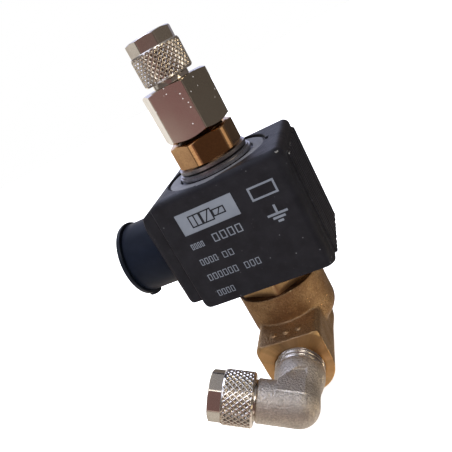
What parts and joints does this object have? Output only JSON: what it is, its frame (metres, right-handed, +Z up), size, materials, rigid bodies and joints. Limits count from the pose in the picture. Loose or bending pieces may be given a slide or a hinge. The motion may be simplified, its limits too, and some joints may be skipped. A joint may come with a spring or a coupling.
{
  "type": "solenoid valve",
  "caption": "Direct-acting solenoid valve: brass body with a threaded port, moulded coil, hex spigot adapter and elbow with knurled push-on tube nuts.",
  "frame": {"origin": "middle of the flat pad under the brass body, on the axis of the operator tube", "axes": "+Z up along the operator tube; the ports lie along Y with the open one facing +Y and the elbow at -Y; the cable entry faces -X"},
  "size_m": [0.0557, 0.0542, 0.0997],
  "materials": {
    "forged_brass": "forged, satin",
    "turned_brass": "machined, bright",
    "nickel_plate": "nickel plated brass, satin",
    "stainless": "turned stainless steel",
    "zinc_steel": "zinc plated spring steel",
    "yoke_steel": "matte grey phosphate",
    "coil_moulding": "fine grained black moulding",
    "entry_plastic": "smooth blue-black",
    "plug_plastic": "smooth blue-black",
    "bobbin_plastic": "natural glass-filled nylon",
    "copper_wire": "enamelled copper",
    "tinned_terminal": "tinned",
    "seal_rubber": "matte black"
  },
  "bodies": {
    "valve": {"valve_body": "forged_brass", "bonnet_seal": "seal_rubber", "bonnet": "turned_brass", "enclosing_tube": "stainless", "fixed_core": "stainless", "coil_lower_seal": "seal_rubber", "coil_upper_seal": "seal_rubber", "flat_washer": "zinc_steel", "wave_washer": "zinc_steel", "lock_washer": "zinc_steel", "coil_nut": "turned_brass", "adapter_seal": "seal_rubber", "top_adapter": "nickel_plate", "elbow_body": "nickel_plate"},
    "plunger_body": {"plunger": "stainless", "plunger_lower_seal": "seal_rubber", "plunger_upper_seal": "seal_rubber", "plunger_spring": "stainless"},
    "coil": {"coil_housing": "coil_moulding", "yoke_frame": "yoke_steel", "coil_bobbin": "bobbin_plastic", "coil_winding": "copper_wire", "coil_face_ring": "yoke_steel", "conduit_hub": "entry_plastic", "terminal_block": "bobbin_plastic", "lead_terminals": "tinned_terminal", "earth_terminal": "tinned_terminal"},
    "entry_plug": {"dust_plug": "plug_plastic"},
    "top_nut": {"top_tube_nut": "nickel_plate"},
    "elbow_nut": {"elbow_tube_nut": "nickel_plate"}
  },
  "joints": [
    {"name": "plunger_lift", "type": "slide", "parent": "valve", "child": "plunger_body", "axis": [0, 0, 1], "range_m": [0, 0.0015], "stiffness_N_per_m": 200, "springref_m": -0.01, "deforming": ["plunger_spring"]},
    {"name": "coil_swivel", "type": "hinge", "parent": "valve", "child": "coil", "pos_m": [0, 0, 0.0487], "axis": [0, 0, 1], "continuous": true},
    {"name": "dust_plug_pull", "type": "slide", "parent": "coil", "child": "entry_plug", "axis": [-1, 0, 0], "range_m": [0, 0.02]},
    {"name": "top_tube_nut_turn", "type": "hinge", "parent": "valve", "child": "top_nut", "pos_m": [0, 0, 0.0942], "axis": [0, 0, 1], "continuous": true},
    {"name": "elbow_tube_nut_turn", "type": "hinge", "parent": "valve", "child": "elbow_nut", "pos_m": [-0.01391, -0.03318, 0.01749], "axis": [-0.8805, 0, 0.4741], "continuous": true}
  ]
}
